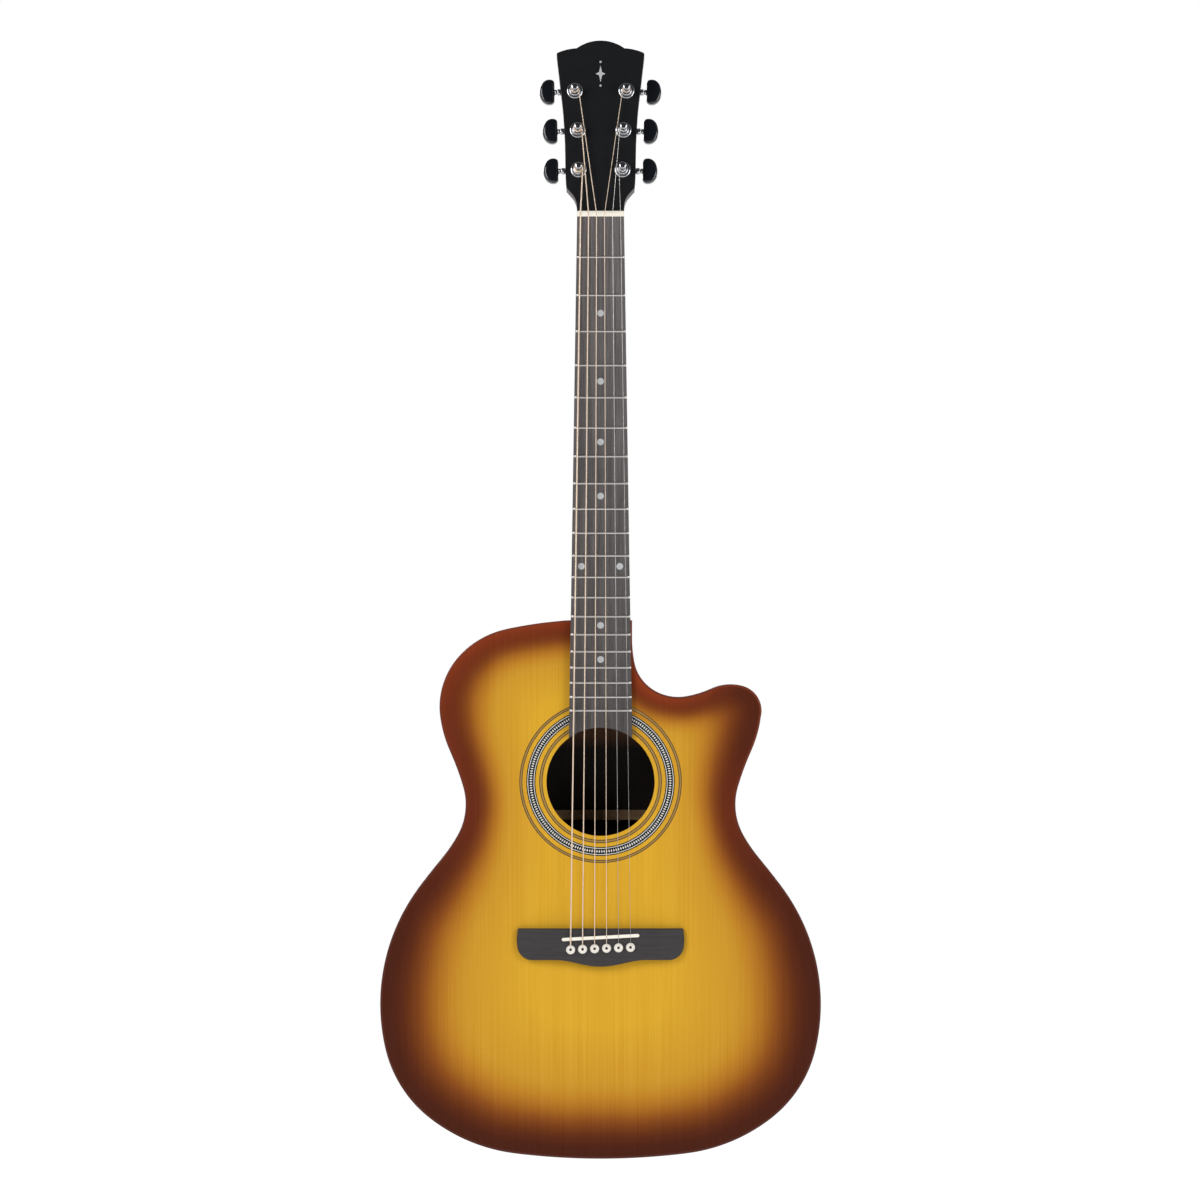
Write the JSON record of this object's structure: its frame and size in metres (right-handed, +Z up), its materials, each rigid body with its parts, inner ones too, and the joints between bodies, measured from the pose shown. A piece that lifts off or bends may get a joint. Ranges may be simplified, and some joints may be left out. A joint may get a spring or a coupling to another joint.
{
  "type": "acoustic guitar",
  "caption": "Steel-string acoustic guitar with a single-cutaway hollow body, sunburst spruce top, ringed soundhole, pin bridge and geared tuners.",
  "frame": {"origin": "middle of the nut line, where the fretboard starts, in the plane of the soundboard's outer face; a wall hanger's yoke carries the head just above it", "axes": "+Z up the neck to the head, +X the treble (cutaway) side, -Y the front"},
  "size_m": [0.3972, 0.1231, 1.0087],
  "materials": {
    "spruce_top": "satin lacquer with a dark burst round the edge",
    "mahogany": "gloss lacquer",
    "mahogany_raw": "raw",
    "lining_wood": "raw",
    "spruce_raw": "raw",
    "binding": "gloss",
    "rosette": "satin",
    "rosewood": "oiled",
    "fretboard_wood": "oiled",
    "bone": "polished",
    "pins": "gloss",
    "neck_wood": "satin lacquer",
    "black_veneer": "satin lacquer",
    "fret_wire": "polished",
    "pearl": "satin",
    "steel": "plain",
    "chrome": "polished",
    "bronze_string": "wound",
    "steel_string": "plain",
    "button_black": "gloss"
  },
  "bodies": {
    "root": {"back_binding": "binding", "back_braces": "spruce_raw", "back_lining": "lining_wood", "back_plate": "mahogany", "back_strip": "spruce_raw", "bridge": "rosewood", "bridge_pins": "pins", "bridge_plate": "rosewood", "fret_markers": "pearl", "fretboard": "fretboard_wood", "frets": "fret_wire", "head_inlay": "pearl", "head_veneer": "black_veneer", "heel_cap": "black_veneer", "neck": "neck_wood", "neck_block": "mahogany_raw", "neck_bolts": "steel", "nut": "bone", "rosette_center": "rosette", "rosette_inner": "rosette", "rosette_outer": "rosette", "saddle": "bone", "side_bass": "mahogany", "side_treble": "mahogany", "soundboard": "spruce_top", "string_a5": "bronze_string", "string_b2": "steel_string", "string_d4": "bronze_string", "string_e1": "steel_string", "string_e6": "bronze_string", "string_g3": "bronze_string", "tail_block": "mahogany_raw", "top_binding": "binding", "top_braces": "spruce_raw", "top_lining": "lining_wood", "truss_rod": "steel", "tuner_bushings": "chrome", "tuner_housings": "chrome", "tuner_screws": "chrome", "tuner_washers": "chrome", "x_braces": "spruce_raw"},
    "truss_nut": {"truss_rod_nut": "steel"},
    "key_e6": {"tuner_button_e6": "button_black", "tuner_shaft_e6": "chrome"},
    "post_e6": {"tuner_post_e6": "chrome"},
    "key_a5": {"tuner_button_a5": "button_black", "tuner_shaft_a5": "chrome"},
    "post_a5": {"tuner_post_a5": "chrome"},
    "key_d4": {"tuner_button_d4": "button_black", "tuner_shaft_d4": "chrome"},
    "post_d4": {"tuner_post_d4": "chrome"},
    "key_g3": {"tuner_button_g3": "button_black", "tuner_shaft_g3": "chrome"},
    "post_g3": {"tuner_post_g3": "chrome"},
    "key_b2": {"tuner_button_b2": "button_black", "tuner_shaft_b2": "chrome"},
    "post_b2": {"tuner_post_b2": "chrome"},
    "key_e1": {"tuner_button_e1": "button_black", "tuner_shaft_e1": "chrome"},
    "post_e1": {"tuner_post_e1": "chrome"}
  },
  "joints": [
    {"name": "truss_nut_turn", "type": "hinge", "parent": "root", "child": "truss_nut", "pos_m": [0, 0.0095, -0.3995], "axis": [0, 0, 1], "range_deg": [-180, 180]},
    {"name": "key_turn_e6", "type": "hinge", "parent": "root", "child": "key_e6", "pos_m": [-0.0398, 0.03277, 0.04118], "axis": [-1, 0, 0], "continuous": true},
    {"name": "post_turn_e6", "type": "hinge", "parent": "root", "child": "post_e6", "pos_m": [-0.0198, 0.00784, 0.04245], "axis": [0, -0.9703, 0.2419], "continuous": true},
    {"name": "key_turn_a5", "type": "hinge", "parent": "root", "child": "key_a5", "pos_m": [-0.0406, 0.04172, 0.07709], "axis": [-1, 0, 0], "continuous": true},
    {"name": "post_turn_a5", "type": "hinge", "parent": "root", "child": "post_a5", "pos_m": [-0.0206, 0.01679, 0.07835], "axis": [0, -0.9703, 0.2419], "continuous": true},
    {"name": "key_turn_d4", "type": "hinge", "parent": "root", "child": "key_d4", "pos_m": [-0.0433, 0.05058, 0.1126], "axis": [-1, 0, 0], "continuous": true},
    {"name": "post_turn_d4", "type": "hinge", "parent": "root", "child": "post_d4", "pos_m": [-0.0233, 0.02564, 0.11387], "axis": [0, -0.9703, 0.2419], "continuous": true},
    {"name": "key_turn_g3", "type": "hinge", "parent": "root", "child": "key_g3", "pos_m": [0.0433, 0.05058, 0.1126], "axis": [1, 0, 0], "continuous": true},
    {"name": "post_turn_g3", "type": "hinge", "parent": "root", "child": "post_g3", "pos_m": [0.0233, 0.02564, 0.11387], "axis": [0, -0.9703, 0.2419], "continuous": true},
    {"name": "key_turn_b2", "type": "hinge", "parent": "root", "child": "key_b2", "pos_m": [0.0406, 0.04172, 0.07709], "axis": [1, 0, 0], "continuous": true},
    {"name": "post_turn_b2", "type": "hinge", "parent": "root", "child": "post_b2", "pos_m": [0.0206, 0.01679, 0.07835], "axis": [0, -0.9703, 0.2419], "continuous": true},
    {"name": "key_turn_e1", "type": "hinge", "parent": "root", "child": "key_e1", "pos_m": [0.0398, 0.03277, 0.04118], "axis": [1, 0, 0], "continuous": true},
    {"name": "post_turn_e1", "type": "hinge", "parent": "root", "child": "post_e1", "pos_m": [0.0198, 0.00784, 0.04245], "axis": [0, -0.9703, 0.2419], "continuous": true}
  ],
  "couplings": [
    {"joint": "post_turn_e6", "follows": "key_turn_e6", "ratio": -0.083333},
    {"joint": "post_turn_a5", "follows": "key_turn_a5", "ratio": -0.083333},
    {"joint": "post_turn_d4", "follows": "key_turn_d4", "ratio": -0.083333},
    {"joint": "post_turn_g3", "follows": "key_turn_g3", "ratio": 0.083333},
    {"joint": "post_turn_b2", "follows": "key_turn_b2", "ratio": 0.083333},
    {"joint": "post_turn_e1", "follows": "key_turn_e1", "ratio": 0.083333}
  ]
}
